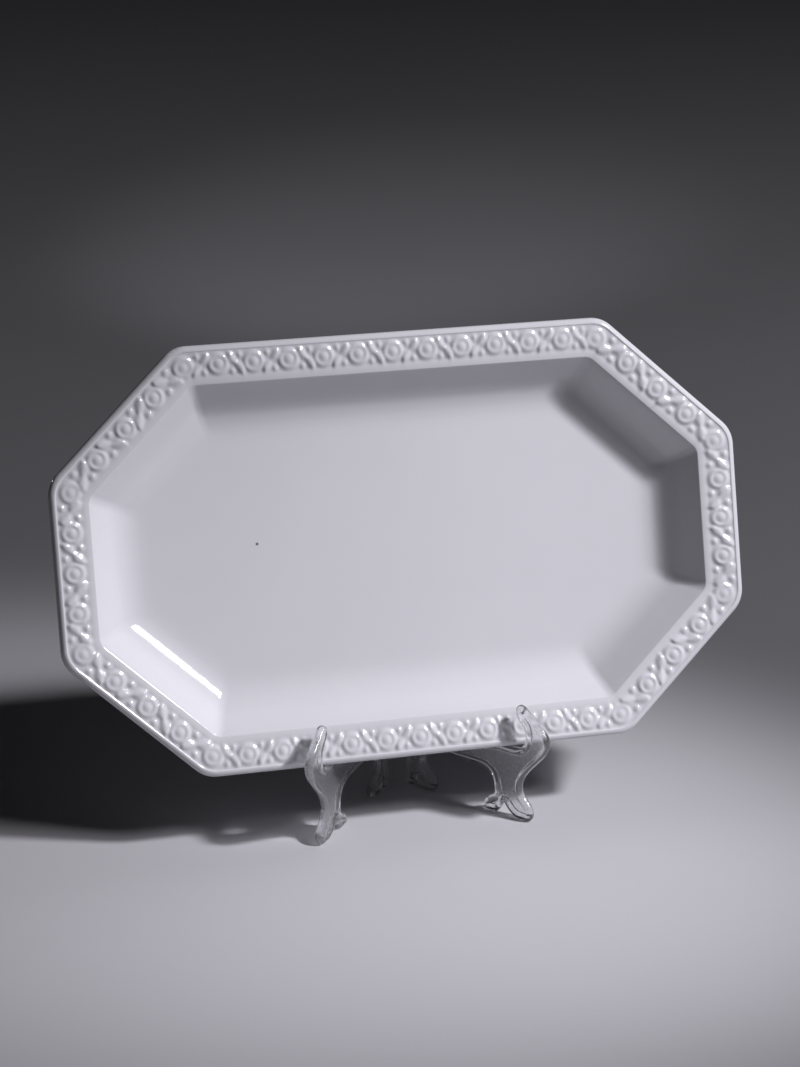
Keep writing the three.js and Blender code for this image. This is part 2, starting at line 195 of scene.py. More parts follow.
# How finely the platter is meshed, with bends in degrees, and where its bands and faces end
CORNER_STEPS = 16
RING_SPACING = 0.45
SECTION_STEP = 0.08
SOFTENING = 3.6  # spread of the glaze's softening, in steps of the section
SOFTENING_REACH = 12
BAND_STEP = 0.42
OPEN_STEP = 4.0
FRONT_BEND = 9.0
BACK_BEND = 14.0
FINE_MARGIN = 1.4
FRONT_MARGIN = 0.3
GLAZE_PASSES = 4
RIM_FRONT_DEPTH = 8.0
BARE_FOOT_HEIGHT = 0.25
BARE_FOOT_MARGIN = 3.0
FOOT_FLAT_RUN = 8.0
FLOOR_FLAT_RUN = 10.0

# Sizes that follow
PLATTER_HEIGHT = WELL_DEPTH + FLOOR_THICKNESS + FOOT_HEIGHT
RIM_SLOPE = RIM_DROP / RIM_WIDTH
FLOOR_EDGE = (RIM_WIDTH + (WELL_DEPTH - RIM_DROP) / math.tan(WALL_ANGLE)
              + FLOOR_FILLET * math.tan(WALL_ANGLE / 2))
BAND_START = LIP_WIDTH + BAND_SLOPE
BAND_END = RIM_WIDTH - BEAD_WIDTH - BAND_SLOPE
BAND_MIDDLE = (BAND_START + BAND_END) / 2
FRONT_LEVEL = PLATTER_HEIGHT - RIM_DROP - BAND_DEPTH - FRONT_MARGIN
RIM_SEAT_BACK = (RIM_EDGE_ROUND * math.sin(LEAN)
                 + (RIM_THICKNESS - RIM_EDGE_ROUND) * math.cos(LEAN))
RIM_LOWEST = (RIM_SEAT_HEIGHT + RIM_EDGE_ROUND * math.cos(LEAN)
              - (RIM_THICKNESS - RIM_EDGE_ROUND) * math.sin(LEAN) - RIM_EDGE_ROUND)
FOOT_DEPTH = PLATTER_HEIGHT + SEAT_CLEARANCE
FOOT_SEAT_BACK = FOOT_INSET * math.sin(LEAN) + FOOT_DEPTH * math.cos(LEAN)
FOOT_SEAT_HEIGHT = RIM_SEAT_HEIGHT + FOOT_INSET * math.cos(LEAN) - FOOT_DEPTH * math.sin(LEAN)
HINGE_BEHIND_RIM = FOOT_SEAT_BACK + HINGE_BEHIND_FOOT
KNUCKLE_RADIUS = FOLD_CLEARANCE + FRAME_THICKNESS
FORK_REACH = TONGUE_HEIGHT / 2 + KNUCKLE_GAP + KNUCKLE_HEIGHT
REAR_EDGE = KNUCKLE_RADIUS + KNUCKLE_CLEARANCE

# The row frame's place of the hinge axis, which the stand and the platter are set out from
hinge_joint = next(joint for joint in frame["joints"] if joint["name"] == "stand_fold")
HINGE_Y = METRE * hinge_joint["pos_m"][1]
RIM_Y = HINGE_Y - HINGE_BEHIND_RIM

# Angles between faces, in degrees, that shade as an edge
PLATTER_EDGE = 60.0
FRAME_EDGE = 35.0
PLAIN_EDGE = 40.0


def add_mesh(name, vertices, faces, sharp_angle=PLAIN_EDGE):
    """A smooth-shaded mesh object from vertices in millimetres."""
    mesh = bpy.data.meshes.new(name)
    mesh.from_pydata((np.asarray(vertices) / METRE).tolist(), [], faces)
    mesh.polygons.foreach_set("use_smooth", [True] * len(mesh.polygons))
    mesh.set_sharp_from_angle(angle=math.radians(sharp_angle))
    mesh.validate()
    piece = bpy.data.objects.new(name, mesh)
    bpy.context.scene.collection.objects.link(piece)
    return piece


def strip(lower, upper, way=1):
    """Faces between two closed loops of vertex numbers, turned over where the way is -1."""
    following = np.roll(np.arange(len(lower)), -1)
    quads = np.stack([lower, lower[following], upper[following], upper], 1)
    return quads[:, ::way].tolist()


def leaning(across, along, depth):
    """Places on the leaning platter: across it, up it from its lower edge and behind its rim."""
    return (across,
            RIM_Y + along * math.sin(LEAN) + depth * math.cos(LEAN),
            RIM_SEAT_HEIGHT + along * math.cos(LEAN) - depth * math.sin(LEAN))


# Platter


def platter_sides():
    """The eight sides: the direction each one faces and its distance from the middle."""
    cut_facing = math.atan2(CORNER_CUT[0], CORNER_CUT[1])
    cut_reach = (math.cos(cut_facing) * PLATTER_LENGTH / 2
                 + math.sin(cut_facing) * (PLATTER_WIDTH / 2 - CORNER_CUT[1]))
    sides = []
    for half in (0.0, math.pi):
        sides.append((half, PLATTER_LENGTH / 2))
        sides.append((half + cut_facing, cut_reach))
        sides.append((half + math.pi / 2, PLATTER_WIDTH / 2))
        sides.append((half + math.pi - cut_facing, cut_reach))
    return sides


SIDES = platter_sides()


def corner_point(index, inset):
    """Where a side meets the next one, with both drawn in by the inset."""
    facing, reach = SIDES[index]
    next_facing, next_reach = SIDES[(index + 1) % 8]
    turn = (next_facing - facing) % (2 * math.pi)
    here = reach - inset
    there = next_reach - inset
    x = (here * math.sin(next_facing) - there * math.sin(facing)) / math.sin(turn)
    y = (there * math.cos(facing) - here * math.cos(next_facing)) / math.sin(turn)
    return np.array([x, y])


def corner_radius(inset):
    """Corner radius of the level loop that is drawn in by the inset."""
    if inset < RIM_WIDTH:
        share = inset / RIM_WIDTH
        return RIM_CORNER_RADIUS + share * (WELL_CORNER_RADIUS - RIM_CORNER_RADIUS)
    share = min((inset - RIM_WIDTH) / (FLOOR_EDGE - RIM_WIDTH), 1.0)
    return WELL_CORNER_RADIUS + share * (FLOOR_CORNER_RADIUS - WELL_CORNER_RADIUS)


def octagon_ring(inset, spacing):
    """One level loop of the platter with round corners; every inset gives as many points."""
    radius = corner_radius(inset)
    parts = []
    for index in range(8):
        facing = SIDES[index][0]
        turn = (SIDES[(index + 1) % 8][0] - facing) % (2 * math.pi)
        centre = corner_point(index, inset + radius)
        angles = facing + turn * np.linspace(0, 1, CORNER_STEPS + 1)
        arc = centre + radius * np.stack([np.cos(angles), np.sin(angles)], 1)
        following = (index + 1) % 8
        next_start = corner_point(following, inset + radius)
        next_facing = SIDES[following][0]
        end = next_start + radius * np.array([math.cos(next_facing), math.sin(next_facing)])
        length = np.linalg.norm(corner_point(following, 0) - corner_point(index, 0))
        count = int(round(length / spacing))
        shares = np.linspace(0, 1, count, endpoint=False)[1:, None]
        parts.append(arc)
        parts.append(arc[-1] + shares * (end - arc[-1]))
    return np.concatenate(parts)


def corner_apex(index, inset):
    """The middle of a rounded corner of one level loop."""
    radius = corner_radius(inset)
    facing = SIDES[index][0]
    bisector = facing + ((SIDES[(index + 1) % 8][0] - facing) % (2 * math.pi)) / 2
    outward = np.array([math.cos(bisector), math.sin(bisector)])
    return corner_point(index, inset + radius) + radius * outward


def arc_points(centre, radius, start, end, steps):
    angles = np.linspace(start, end, steps + 1)
    return np.stack([centre[0] + radius * np.cos(angles), centre[1] + radius * np.sin(angles)], 1)


def rim_top(inset):
    return PLATTER_HEIGHT - RIM_SLOPE * inset


def rim_under(inset):
    return rim_top(inset) - RIM_THICKNESS


def platter_section():
    """The platter's section from inside its foot round the rim to the floor, softened by glaze."""
    top = PLATTER_HEIGHT
    fillet_centre = (FLOOR_EDGE, top - WELL_DEPTH + FLOOR_FILLET)
    outer_fillet = FLOOR_FILLET + WALL_THICKNESS
    foot_run = FLOOR_EDGE - FOOT_INSET
    foot_top = fillet_centre[1] - math.sqrt(outer_fillet ** 2 - foot_run ** 2)
    foot_angle = math.acos(foot_run / outer_fillet)
    wall_facing = 1.5 * math.pi - WALL_ANGLE
    foot_inner = FOOT_INSET + FOOT_WIDTH
    bead_start = RIM_WIDTH - BEAD_WIDTH
    across = math.cos(WALL_ANGLE) + RIM_SLOPE * math.sin(WALL_ANGLE)
    along = math.sin(WALL_ANGLE) - RIM_SLOPE * math.cos(WALL_ANGLE)
    root = (RIM_WIDTH - WALL_THICKNESS * math.sin(WALL_ANGLE)
            + (RIM_THICKNESS - WALL_THICKNESS * across) / along * math.cos(WALL_ANGLE))
    setback = RIM_UNDERSIDE_FILLET * math.tan(WALL_ANGLE / 2)
    corner = np.array([root, rim_under(root)])
    before = corner + setback * np.array([math.cos(WALL_ANGLE), -math.sin(WALL_ANGLE)])
    after = np.array([root - setback, rim_under(root - setback)])
    t = np.linspace(0, 1, 13)[:, None]
    fillet = (1 - t) ** 2 * before + 2 * t * (1 - t) * corner + t ** 2 * after
    edge = RIM_EDGE_ROUND
    front = RIM_FRONT_ROUND
    corners = np.concatenate([
        [[foot_inner + FOOT_FLAT_RUN, FOOT_HEIGHT]],
        [[foot_inner + FOOT_ROUND, FOOT_HEIGHT], [foot_inner, FOOT_ROUND]],
        [[foot_inner - FOOT_ROUND, 0], [FOOT_INSET + FOOT_ROUND, 0]],
        [[FOOT_INSET, FOOT_ROUND], [FOOT_INSET, foot_top]],
        arc_points(fillet_centre, outer_fillet, math.pi + foot_angle, wall_facing, 24),
        fillet,
        arc_points((edge, top - RIM_THICKNESS + edge), edge, 1.5 * math.pi, math.pi, 12),
        arc_points((front, top - front), front, math.pi, math.pi / 2, 12),
        [[LIP_WIDTH, rim_top(LIP_WIDTH)], [BAND_START, rim_top(BAND_START) - BAND_DEPTH]],
        [[BAND_END, rim_top(BAND_END) - BAND_DEPTH], [bead_start, rim_top(bead_start)]],
        [[RIM_WIDTH, rim_top(RIM_WIDTH)]],
        arc_points(fillet_centre, FLOOR_FILLET, wall_facing, 1.5 * math.pi, 40),
        [[FLOOR_EDGE + FLOOR_FLAT_RUN, top - WELL_DEPTH]],
    ])
    steps = np.linalg.norm(np.diff(corners, axis=0), axis=1)
    travel = np.concatenate([[0], np.cumsum(steps)])
    keep = np.concatenate([[True], np.diff(travel) > 1e-6])
    stations = np.arange(0, travel[-1], SECTION_STEP)
    dense = np.stack([np.interp(stations, travel[keep], corners[keep, axis]) for axis in (0, 1)], 1)
    kernel = np.exp(-0.5 * (np.arange(-SOFTENING_REACH, SOFTENING_REACH + 1) / SOFTENING) ** 2)
    kernel /= kernel.sum()
    return np.stack([np.convolve(dense[:, axis], kernel, mode="valid") for axis in (0, 1)], 1)


def thin_section(section):
    """Fewer points of the section: close together on the relief band and where it bends."""
    kept = [section[0]]
    run = 0.0
    bend = 0.0
    heading = None
    for before, here in zip(section[:-1], section[1:]):
        step = here - before
        angle = math.atan2(step[1], step[0])
        if heading is not None:
            bend += abs((angle - heading + math.pi) % (2 * math.pi) - math.pi)
        heading = angle
        run += float(np.hypot(*step))
        front = here[1] > FRONT_LEVEL
        on_band = front and BAND_START - FINE_MARGIN < here[0] < BAND_END + FINE_MARGIN
        longest = BAND_STEP if on_band else OPEN_STEP
        if run > longest or bend > math.radians(FRONT_BEND if front else BACK_BEND):
            kept.append(here)
            run = 0.0
            bend = 0.0
    kept.append(section[-1])
    return np.array(kept)


def drop_height(along, across):
    """Height of one bowed drop over the band, along it from its thin end and across it."""
    share = np.clip(along / DROP_LENGTH, 0, 1)
    half_width = DROP_HALF_WIDTH * np.sin(math.pi * share ** DROP_TAPER) ** FULLNESS
    bowed = across + DROP_BOW * np.sin(math.pi * share) - DROP_SHIFT
    ratio = np.clip(np.abs(bowed) / np.maximum(half_width, 1e-6), 0, 1)
    return (1 - ratio ** 2) ** FULLNESS * (DROP_RISE[0] + DROP_RISE[1] * share)


def roundel_height(distance):
    """Height of a roundel: a raised ring about a dome."""
    share = distance / ROUNDEL_RADIUS
    ring = RING_RISE * np.clip(1 - ((share - RING_MIDDLE) / RING_HALF_WIDTH) ** 2, 0, 1)
    dome = np.clip(1 - (share / DOME_RADIUS) ** 2, 0, 1) ** FULLNESS
    return np.maximum.reduce([ring, dome, np.where(share < RING_MIDDLE, HOLLOW_RISE, 0.0)])


def relief(points):
    """Height of the relief over the band's ground at points in the platter's plane."""
    insets = np.stack([reach - points @ np.array([math.cos(facing), math.sin(facing)])
                       for facing, reach in SIDES], 1)
    nearest = insets.argmin(1)
    height = np.zeros(len(points))
    for index in range(8):
        facing = SIDES[index][0]
        chosen = nearest == index
        start = corner_apex((index - 1) % 8, BAND_MIDDLE)
        end = corner_apex(index, BAND_MIDDLE)
        middle = (corner_point((index - 1) % 8, BAND_MIDDLE)
                  + corner_point(index, BAND_MIDDLE)) / 2
        tangent = np.array([-math.sin(facing), math.cos(facing)])
        half_length = (end - middle) @ tangent
        runs = int(round(half_length / ROUNDEL_PITCH))
        run = half_length / runs
        local = points[chosen]
        travel = np.abs((local - middle) @ tangent)
        offset = BAND_MIDDLE - insets[chosen, index]
        # a pair of drops turned about the middle between two roundels, with a pearl beside each
        ahead = (travel % run - run / 2) * DROP_SPAN / (run - 2 * ROUNDEL_RADIUS)
        waved = np.where(travel // run % 2 == 0, offset, -offset)
        shape = np.zeros(len(local))
        for way in (1, -1):
            along = way * (ahead * math.cos(DROP_TURN) + waved * math.sin(DROP_TURN)) + DROP_SETBACK
            across = way * (waved * math.cos(DROP_TURN) - ahead * math.sin(DROP_TURN))
            gap = np.hypot(way * ahead - PEARL_PLACE[0], way * waved + PEARL_PLACE[1])
            pearl = PEARL_RISE * np.clip(1 - (gap / PEARL_RADIUS) ** 2, 0, 1)
            shape = np.maximum.reduce([shape, drop_height(along, across), pearl])
        steps = [way * number * run for number in range(runs) for way in (1, -1)]
        for spot in [start, end] + [middle + step * tangent for step in steps]:
            distance = np.hypot(*(local - spot).T)
            shape = np.where(distance < ROUNDEL_RADIUS, roundel_height(distance), shape)
        height[chosen] = shape
    return RELIEF_HEIGHT * height


def make_platter():
    """The platter's mesh, loop by loop along its section, with the relief raised on its band."""
    section = thin_section(platter_section())
    rings = [octagon_ring(inset, RING_SPACING) for inset, _ in section]
    count = len(rings[0])
    block = np.zeros((len(section), count))
    for number, (inset, height) in enumerate(section):
        edge = min(inset - BAND_START + RELIEF_MARGIN, BAND_END + RELIEF_MARGIN - inset)
        if height > FRONT_LEVEL and edge > 0:
            block[number] = min(1.0, edge / RELIEF_FADE) * relief(rings[number])
    # the glaze runs over the relief and rounds it off
    for _ in range(GLAZE_PASSES):
        block = 0.5 * block + 0.25 * (np.roll(block, 1, 1) + np.roll(block, -1, 1))
        block[1:-1] = 0.5 * block[1:-1] + 0.25 * (block[:-2] + block[2:])
    local = np.concatenate([
        np.concatenate([ring, (height + rise)[:, None]], 1)
        for ring, (_, height), rise in zip(rings, section, block)
    ])
    total = len(section)
    spots = np.arange(count)
    faces = []
    for ring in range(total - 1):
        faces.extend(strip(ring * count + spots, (ring + 1) * count + spots))
    faces.append(list(range(count - 1, -1, -1)))
    faces.append(list(range((total - 1) * count, total * count)))
    along = local[:, 1] + PLATTER_WIDTH / 2
    depth = PLATTER_HEIGHT - local[:, 2]
    world = np.stack(leaning(local[:, 0], along, depth), 1)
    piece = add_mesh("glazed_platter", world, faces, PLATTER_EDGE)
    insets = np.repeat(section[:, 0], count)
    on_band = np.clip((np.minimum(insets - BAND_START, BAND_END - insets) + 1) / 2, 0, 1)
    low_ground = np.clip(1 - block.ravel() / (POOL_SHARE * RELIEF_HEIGHT), 0, 1)
    pooled = np.where(depth < RIM_FRONT_DEPTH, on_band * low_ground, 0)
    on_foot = (local[:, 2] < BARE_FOOT_HEIGHT) & (insets < FLOOR_EDGE + BARE_FOOT_MARGIN)
    bare = np.where(on_foot, 1.0, 0.0)
    for name, values in (("pooled_glaze", pooled), ("bare_foot", bare)):
        layer = piece.data.attributes.new(name, "FLOAT", "POINT")
        layer.data.foreach_set("value", values.astype(np.float32))
    return piece


# Stand


def frame_reach(back, offset):
    """Distance out from the hinge axis, in a frame's plane, of what lies so far behind the rim."""
    return (HINGE_BEHIND_RIM + offset * math.sin(HALF_SPREAD) - back) / math.cos(HALF_SPREAD)


def backrest_reach(height):
    """The same distance of the backrest, which follows the platter's lean."""
    back = FOOT_SEAT_BACK + (height - FOOT_SEAT_HEIGHT) * math.tan(LEAN)
    return frame_reach(back, FOLD_CLEARANCE)


SLOT_FLOOR = RIM_LOWEST - SEAT_CLEARANCE
SLOT_FRONT = frame_reach(RIM_SEAT_BACK, KNUCKLE_RADIUS) + SLOT_EASE
BACKREST_SLOPE = math.atan(math.tan(LEAN) / math.cos(HALF_SPREAD))
TIP_RUN = (backrest_reach(FOOT_SEAT_HEIGHT) - UPRIGHT_TIP_REACH
           - UPRIGHT_TIP_RADIUS / math.cos(BACKREST_SLOPE))
TIP_HEIGHT = FOOT_SEAT_HEIGHT + TIP_RUN / math.tan(BACKREST_SLOPE)
UPPER_HINGE_HEIGHT = TIP_HEIGHT - UPPER_HINGE_BELOW_TIP
HINGE_HEIGHTS = {"lower_hinge_pin": LOWER_HINGE_HEIGHT, "upper_hinge_pin": UPPER_HINGE_HEIGHT}


class Outline:
    """A closed outline drawn with lines, arcs and curves and kept as points."""

    def __init__(self, x, y):
        self.points = [(x, y)]

    def line(self, x, y):
        self.points.append((x, y))

    def curve(self, *handles, steps=16):
        """A Bezier curve from the last point through two or three further control points."""
        controls = np.array([self.points[-1], *handles], float)
        for t in np.linspace(0, 1, steps + 1)[1:]:
            level = controls
            while len(level) > 1:
                level = (1 - t) * level[:-1] + t * level[1:]
            self.points.append(tuple(level[0]))

    def arc(self, x, y, radius, start, end, steps=16):
        self.points.extend(map(tuple, arc_points((x, y), radius, start, end, steps)))

    def bend(self, x, y, share):
        """A curve that leaves the last point upright and comes upright to the next."""
        from_x, from_y = self.points[-1]
        rise = share * (y - from_y)
        self.curve((from_x, from_y + rise), (x, y - rise), (x, y))

    def between_toes(self, peak, height, toe):
        """A notch in the foot, up to its peak and down to the next toe."""
        self.curve(((self.points[-1][0] + peak) / 2, 0), (peak, height), steps=12)
        self.curve(((peak + toe) / 2, 0), (toe, 0), steps=12)


def frame_outline():
    """A side frame in its own plane: distance out from the hinge axis, height above the table."""
    front = SLOT_FRONT
    floor = SLOT_FLOOR
    rear = REAR_EDGE
    outline = Outline(front + WAIST_OUT, WAIST_HEIGHT)

    # hook and slot
    tip = (front + HOOK_TIP_OUT, floor + HOOK_TIP_RISE)
    tip_start = (tip[0] + HOOK_TIP_RADIUS * math.cos(HOOK_TIP_START),
                 tip[1] + HOOK_TIP_RADIUS * math.sin(HOOK_TIP_START))
    bulge = (front + BULGE_OUT, floor + BULGE_RISE)
    approach = BULGE_APPROACH * (bulge[0] - tip_start[0])
    outline.bend(*bulge, BULGE_EASE)
    outline.curve((bulge[0], (2 * bulge[1] + tip_start[1]) / 3),
                  (tip_start[0] + approach * math.sin(HOOK_TIP_START),
                   tip_start[1] - approach * math.cos(HOOK_TIP_START)),
                  tip_start)
    outline.arc(*tip, HOOK_TIP_RADIUS, HOOK_TIP_START, HOOK_TIP_END)
    outline.bend(front + HOOK_INSIDE_OUT, floor + HOOK_INSIDE_RISE, UPRIGHT_EASE)
    outline.curve((front + HOOK_INSIDE_OUT, floor), (front, floor))
    outline.line(front - SLOT_LENGTH, floor)

    # shelf, backrest and tip of the upright
    shelf = floor - SHELF_DROP
    straight = FOOT_SEAT_HEIGHT - BACKREST_BELOW_SEAT
    knuckle_top = UPPER_HINGE_HEIGHT + FORK_REACH + SEAT_CLEARANCE + PIN_HEAD_HEIGHT
    middle = (outline.points[-1][0] + front - SHELF_IN) / 2
    outline.curve((middle, floor), (middle, shelf), (front - SHELF_IN, shelf))
    outline.curve((backrest_reach(shelf), shelf), (backrest_reach(straight), straight))
    outline.arc(UPRIGHT_TIP_REACH, TIP_HEIGHT, UPRIGHT_TIP_RADIUS, BACKREST_SLOPE, math.pi)
    outline.bend(rear, knuckle_top, UPRIGHT_EASE)

    # rear leg
    outline.line(rear, REAR_HEEL_ROUND)
    outline.curve((rear, 0), (rear + REAR_HEEL_ROUND, 0), steps=8)
    outline.line(rear + REAR_HEEL_FLAT_END, 0)
    outline.between_toes(rear + REAR_NOTCH_OUT, REAR_NOTCH_HEIGHT, rear + REAR_TOE_FLAT_OUT[0])
    outline.line(rear + REAR_TOE_FLAT_OUT[1], 0)
    outline.curve((rear + REAR_TOE_OUT, 0), (rear + REAR_TOE_OUT, TOE_RISE))
    outline.bend(rear + REAR_WAIST_OUT, WAIST_HEIGHT, LEG_EASE)
    outline.curve((rear + REAR_WAIST_OUT, ARCH_HEIGHT), (rear + ARCH_BACK_OUT, ARCH_HEIGHT))

    # front leg
    outline.line(front - ARCH_FRONT_IN, ARCH_HEIGHT)
    outline.curve((front - ANKLE_IN, ARCH_HEIGHT), (front - ANKLE_IN, ANKLE_HEIGHT))
    outline.bend(front - HEEL_IN, HEEL_RISE, LEG_EASE)
    outline.curve((front - HEEL_IN, 0), (front - HEEL_FLAT_IN[0], 0))
    outline.line(front - HEEL_FLAT_IN[1], 0)
    outline.between_toes(front - NOTCH_IN, FRONT_NOTCH_HEIGHT, front + TOE_FLAT_OUT[0])
    outline.line(front + TOE_FLAT_OUT[1], 0)
    outline.curve((front + TOE_OUT, 0), (front + TOE_OUT, TOE_RISE))
    outline.bend(front + WAIST_OUT, WAIST_HEIGHT, LEG_EASE)

    points = np.array(outline.points[:-1])
    spacing = np.linalg.norm(points - np.roll(points, 1, 0), axis=1)
    return points[spacing > LEAST_SPACING]


def drawn_in(points, distance):
    """A counter-clockwise outline moved inwards by a small distance."""
    before = points - np.roll(points, 1, 0)
    after = np.roll(points, -1, 0) - points
    before /= np.linalg.norm(before, axis=1)[:, None]
    after /= np.linalg.norm(after, axis=1)[:, None]
    normal = np.stack([-(before + after)[:, 1], (before + after)[:, 0]], 1)
    normal /= np.linalg.norm(normal, axis=1)[:, None]
    facing = np.stack([-after[:, 1], after[:, 0]], 1)
    mitre = np.clip((normal * facing).sum(1), 0.5, 1.0)
    return points + normal * (distance / mitre)[:, None]


def edge_distance(points, outline):
    """Distance of each point from the outline, and whether it lies inside."""
    step = np.roll(outline, -1, 0) - outline
    length = (step ** 2).sum(1)
    nearest = []
    inside = []
    for block in np.array_split(points, len(points) // 400 + 1):
        gap = block[:, None, :] - outline
        share = np.clip((gap * step).sum(2) / length, 0, 1)
        nearest.append(np.sqrt(((gap - share[..., None] * step) ** 2).sum(2)).min(1))
        above = gap[:, :, 1] < 0
        crosses = above != np.roll(above, -1, 1)
        run = -gap[:, :, 1] / np.where(step[:, 1] == 0, 1e-9, step[:, 1])
        inside.append((crosses & (gap[:, :, 0] < run * step[:, 0])).sum(1) % 2 == 1)
    return np.concatenate(nearest), np.concatenate(inside)


def half_thickness(distance):
    """Half the frame's thickness so far in from its outline: a round border, then the thin web."""
    crest = FRAME_THICKNESS / 2
    border = np.sqrt(crest ** 2 - np.clip(crest - distance, 0, crest) ** 2)
    share = np.clip((distance - BORDER_WIDTH + WEB_SLOPE_START) / WEB_SLOPE, 0, 1)
    return border - share ** 2 * (3 - 2 * share) * (crest - WEB_THICKNESS / 2)


def inner_points(outline, start):
    """Points spread over the inside of a frame, close together on its border."""
    low = outline.min(0)
    high = outline.max(0)
    chosen = []
    border = (BORDER_GRID[0], start, BORDER_GRID[1])
    web = (WEB_GRID[0], WEB_GRID[1], math.inf)
    for spacing, nearest, furthest in (border, web):
        rows = np.arange(low[1], high[1], spacing * math.sqrt(3) / 2)
        columns = np.arange(low[0], high[0], spacing)
        x, y = np.meshgrid(columns, rows)
        x = x + (np.arange(len(rows)) % 2)[:, None] * spacing / 2
        points = np.stack([x.ravel(), y.ravel()], 1)
        distance, inside = edge_distance(points, outline)
        chosen.append(points[inside & (distance > nearest) & (distance < furthest)])
    return np.concatenate(chosen)


def make_slab(side):
    """A frame's slab: a round border about a thin web, beside the plane through the hinge axis."""
    outline = frame_outline()
    count = len(outline)
    crest = FRAME_THICKNESS / 2
    insets = crest * (1 - np.cos(np.radians(BORDER_ANGLES)))
    rings = [drawn_in(outline, inset) for inset in insets]
    grid = inner_points(outline, insets[-1] + GRID_START)
    flat = [Vector(point) for point in np.concatenate([rings[-1], grid])]
    loop = list(range(count))
    spread, _, cells, origins, _, _ = delaunay_2d_cdt(flat, [], [loop], 1, 1e-6)
    places = np.array([point[:] for point in spread])
    heights = half_thickness(edge_distance(places, outline)[0])
    kept = np.zeros(count, int)  # where the innermost ring's points are among the places
    for number, sources in enumerate(origins):
        for source in sources:
            if source < count:
                kept[source] = number
    middle = side * (FOLD_CLEARANCE + crest)
    vertices = [np.column_stack([outline, np.full(count, middle)])]
    faces = []
    spots = np.arange(count)
    for way in (1, -1):
        lower = spots
        for ring, inset in zip(rings[1:-1], insets[1:-1]):
            shift = sum(map(len, vertices))
            height = math.sqrt(crest ** 2 - (crest - inset) ** 2)
            vertices.append(np.column_stack([ring, np.full(count, middle + way * height)]))
            upper = shift + spots
            faces.extend(strip(lower, upper, way))
            lower = upper
        shift = sum(map(len, vertices))
        vertices.append(np.column_stack([places, middle + way * heights]))
        faces.extend(strip(lower, shift + kept, way))
        faces.extend([shift + corner for corner in cell][::way] for cell in cells)
    return np.concatenate(vertices), faces


def make_knuckle(side, bottom, height):
    """One hinge knuckle: the slab carried on to the hinge axis and rolled round the pin."""
    root = REAR_EDGE + FRAME_THICKNESS / 2
    mouth = math.asin(FOLD_CLEARANCE / KNUCKLE_RADIUS)
    barrel = arc_points((0, 0), KNUCKLE_RADIUS, math.pi / 2, 2 * math.pi + mouth, BARREL_STEPS)
    plan = np.concatenate([[[root, FOLD_CLEARANCE], [root, KNUCKLE_RADIUS]], barrel])
    bore = arc_points((0, 0), PIN_RADIUS + PIN_CLEARANCE, 0, -2 * math.pi, BORE_STEPS)[:-1]
    builder = bmesh.new()
    loops = []
    for ring in (plan, bore):
        corners = [builder.verts.new((x, bottom, side * depth)) for x, depth in ring]
        loops.extend(builder.edges.new((corners[i], corners[(i + 1) % len(corners)]))
                     for i in range(len(corners)))
    filled = bmesh.ops.triangle_fill(builder, edges=loops, use_beauty=True)
    base = [item for item in filled["geom"] if isinstance(item, bmesh.types.BMFace)]
    raised = bmesh.ops.extrude_face_region(builder, geom=base)
    moved = [item for item in raised["geom"] if isinstance(item, bmesh.types.BMVert)]
    bmesh.ops.translate(builder, verts=moved, vec=(0, height, 0))
    bmesh.ops.recalc_face_normals(builder, faces=builder.faces)
    vertices = np.array([vertex.co[:] for vertex in builder.verts])
    builder.verts.index_update()
    faces = [[vertex.index for vertex in face.verts] for face in builder.faces]
    builder.free()
    return vertices, faces


def make_frame(name, side, knuckles):
    """A side frame in its place, its slab joined with its knuckles; side is 1 left and -1 right."""
    slab = add_mesh(name, *make_slab(side))
    rolled = bpy.data.meshes.new("knuckles")
    vertices = []
    faces = []
    for bottom, height in knuckles:
        more_vertices, more_faces = make_knuckle(side, bottom, height)
        shift = sum(len(block) for block in vertices)
        vertices.append(more_vertices)
        faces.extend([index + shift for index in face] for face in more_faces)
    rolled.from_pydata((np.concatenate(vertices) / METRE).tolist(), [], faces)
    tool = bpy.data.objects.new("knuckles", rolled)
    bpy.context.scene.collection.objects.link(tool)
    join = slab.modifiers.new("knuckles", "BOOLEAN")
    join.operation = "UNION"
    join.solver = "EXACT"
    join.object = tool
    bpy.context.view_layer.update()
    joined = slab.evaluated_get(bpy.context.evaluated_depsgraph_get())
    whole = bpy.data.meshes.new_from_object(joined)
    slab.modifiers.clear()
    bpy.data.objects.remove(tool)
    places = np.zeros(3 * len(whole.vertices))
    whole.vertices.foreach_get("co", places)
    distance, inside = edge_distance(METRE * places.reshape(-1, 3)[:, :2], frame_outline())
    web = np.where(inside, np.clip((distance - BORDER_WIDTH + GRAIN_START) / GRAIN_RAMP, 0, 1), 0)
    layer = whole.attributes.new("web", "FLOAT", "POINT")
    layer.data.foreach_set("value", web.astype(np.float32))
    upright = Matrix.Rotation(math.pi / 2, 4, "X")
    turn = Matrix.Rotation(-side * HALF_SPREAD - math.pi / 2, 4, "Z")
    whole.transform(Matrix.Translation((0, HINGE_Y / METRE, 0)) @ turn @ upright)
    whole.polygons.foreach_set("use_smooth", [True] * len(whole.polygons))
    whole.set_sharp_from_angle(angle=math.radians(FRAME_EDGE))
    slab.data = whole
    return slab


